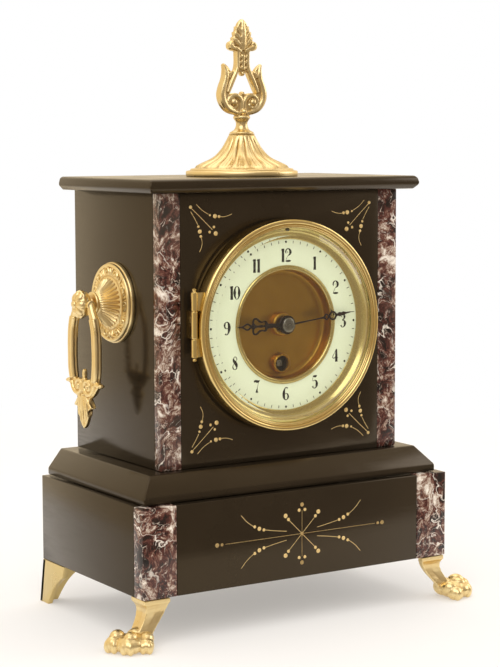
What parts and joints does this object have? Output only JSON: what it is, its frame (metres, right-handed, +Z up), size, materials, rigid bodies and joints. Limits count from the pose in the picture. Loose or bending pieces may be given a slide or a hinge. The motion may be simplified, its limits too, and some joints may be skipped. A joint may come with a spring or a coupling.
{
  "type": "mantel clock",
  "caption": "Black slate mantel clock with marble posts, brass finial, ring handles and paw feet, a glazed round dial, hinged front and rear doors and a pendulum movement.",
  "frame": {"origin": "on the floor under the middle of the whole clock", "axes": "+X to the right of the dial, +Y backwards from the dial, +Z up"},
  "size_m": [0.2598, 0.1502, 0.3494],
  "materials": {
    "slate": "polished",
    "marble": "polished",
    "gilt_brass": "lacquered",
    "glass": "polished",
    "dial_enamel": "gloss",
    "pan_brass": "matt gilt",
    "blued_steel": "blued",
    "steel": "polished",
    "movement_brass": "polished"
  },
  "bodies": {
    "case": {"base_front_panel": "slate", "base_left_panel": "slate", "base_right_panel": "slate", "base_back_panel": "slate", "chamfered_slab": "slate", "body_front_panel": "slate", "body_left_panel": "slate", "body_right_panel": "slate", "body_back_panel": "slate", "top_slab": "slate", "base_post_left": "marble", "base_post_right": "marble", "body_post_left": "marble", "body_post_right": "marble", "foot_front_left": "gilt_brass", "foot_front_right": "gilt_brass", "foot_rear_left": "gilt_brass", "foot_rear_right": "gilt_brass", "finial_base": "gilt_brass", "finial_lyre": "gilt_brass", "handle_rosette_left": "gilt_brass", "handle_knob_left": "gilt_brass", "handle_rosette_right": "gilt_brass", "handle_knob_right": "gilt_brass", "bezel_ring": "gilt_brass", "dial_inner_ring": "gilt_brass", "rear_ring": "gilt_brass", "chapter_ring": "dial_enamel", "dial_plate": "pan_brass", "bezel_hinge_pin": "movement_brass", "front_plate": "movement_brass", "back_plate": "movement_brass", "pillar_1": "movement_brass", "pillar_2": "movement_brass", "pillar_3": "movement_brass", "suspension_cock": "movement_brass", "rear_hinge_pin": "movement_brass"},
    "front_door": {"bezel_door": "gilt_brass", "bezel_glass": "glass"},
    "back_door": {"rear_door": "gilt_brass"},
    "bail_left": {"handle_bail_left": "gilt_brass"},
    "bail_right": {"handle_bail_right": "gilt_brass"},
    "minute_motion": {"minute_hand": "blued_steel", "hand_nut": "steel", "cannon_pinion": "movement_brass"},
    "hour_motion": {"hour_hand": "blued_steel", "hour_wheel": "movement_brass"},
    "minute_wheel": {"minute_wheel": "movement_brass"},
    "escape": {"escape_wheel": "movement_brass"},
    "third": {"third_wheel": "movement_brass"},
    "centre": {"centre_wheel": "movement_brass"},
    "intermediate": {"intermediate_wheel": "movement_brass"},
    "barrel": {"barrel": "movement_brass"},
    "winding": {"barrel_arbor": "steel", "ratchet_wheel": "movement_brass"},
    "click": {"click": "steel"},
    "pendulum": {"pendulum_rod": "steel", "pendulum_bob": "movement_brass"},
    "rating_nut": {"rating_nut": "movement_brass"},
    "anchor": {"anchor": "steel"}
  },
  "joints": [
    {"name": "front_door_hinge", "type": "hinge", "parent": "case", "child": "front_door", "pos_m": [-0.0639, -0.04096, 0.1759], "axis": [0, 0, -1], "range_deg": [0, 150]},
    {"name": "back_door_hinge", "type": "hinge", "parent": "case", "child": "back_door", "pos_m": [-0.0569, 0.07244, 0.1722], "axis": [0, 0, 1], "range_deg": [0, 150]},
    {"name": "bail_left_pivot", "type": "hinge", "parent": "case", "child": "bail_left", "pos_m": [-0.1026, 0.01714, 0.1852], "axis": [0, 1, 0], "range_deg": [-12, 95]},
    {"name": "bail_right_pivot", "type": "hinge", "parent": "case", "child": "bail_right", "pos_m": [0.1026, 0.01714, 0.1852], "axis": [0, -1, 0], "range_deg": [-12, 95]},
    {"name": "minute_hand_turn", "type": "hinge", "parent": "case", "child": "minute_motion", "pos_m": [0, -0.03376, 0.1722], "axis": [0, 1, 0], "continuous": true},
    {"name": "minute_wheel_turn", "type": "hinge", "parent": "case", "child": "minute_wheel", "pos_m": [-0.01143, -0.03376, 0.1788], "axis": [0, 1, 0], "continuous": true},
    {"name": "hour_hand_turn", "type": "hinge", "parent": "case", "child": "hour_motion", "pos_m": [0, -0.03376, 0.1722], "axis": [0, 1, 0], "continuous": true},
    {"name": "escape_turn", "type": "hinge", "parent": "case", "child": "escape", "pos_m": [0, -0.03376, 0.1897], "axis": [0, 1, 0], "continuous": true},
    {"name": "third_turn", "type": "hinge", "parent": "case", "child": "third", "pos_m": [-0.01233, -0.03376, 0.18361], "axis": [0, 1, 0], "continuous": true},
    {"name": "centre_turn", "type": "hinge", "parent": "case", "child": "centre", "pos_m": [0, -0.03376, 0.1722], "axis": [0, 1, 0], "continuous": true},
    {"name": "intermediate_turn", "type": "hinge", "parent": "case", "child": "intermediate", "pos_m": [0.01597, -0.03376, 0.16505], "axis": [0, 1, 0], "continuous": true},
    {"name": "barrel_turn", "type": "hinge", "parent": "case", "child": "barrel", "pos_m": [0, -0.03376, 0.1492], "axis": [0, 1, 0], "continuous": true},
    {"name": "winding_turn", "type": "hinge", "parent": "case", "child": "winding", "pos_m": [0, -0.03376, 0.1492], "axis": [0, 1, 0], "continuous": true},
    {"name": "click_pivot", "type": "hinge", "parent": "case", "child": "click", "pos_m": [0.0126, -0.03376, 0.1452], "axis": [0, 1, 0], "range_deg": [-2, 12]},
    {"name": "pendulum_swing", "type": "hinge", "parent": "case", "child": "pendulum", "pos_m": [0, 0.01617, 0.20487], "axis": [0, 1, 0], "range_deg": [-4, 4]},
    {"name": "anchor_rock", "type": "hinge", "parent": "case", "child": "anchor", "pos_m": [0, 0.01617, 0.20487], "axis": [0, 1, 0], "range_deg": [-4, 4]},
    {"name": "rating_nut_turn", "type": "hinge", "parent": "pendulum", "child": "rating_nut", "pos_m": [0, 0.01617, 0.104], "axis": [0, 0, 1], "continuous": true}
  ],
  "couplings": [
    {"joint": "minute_wheel_turn", "follows": "minute_hand_turn", "ratio": -0.33333},
    {"joint": "hour_hand_turn", "follows": "minute_hand_turn", "ratio": 0.083333},
    {"joint": "third_turn", "follows": "escape_turn", "ratio": -0.19048},
    {"joint": "centre_turn", "follows": "escape_turn", "ratio": 0.031746},
    {"joint": "intermediate_turn", "follows": "escape_turn", "ratio": -0.0060469},
    {"joint": "barrel_turn", "follows": "escape_turn", "ratio": 0.0015117},
    {"joint": "anchor_rock", "follows": "pendulum_swing", "ratio": 1}
  ]
}
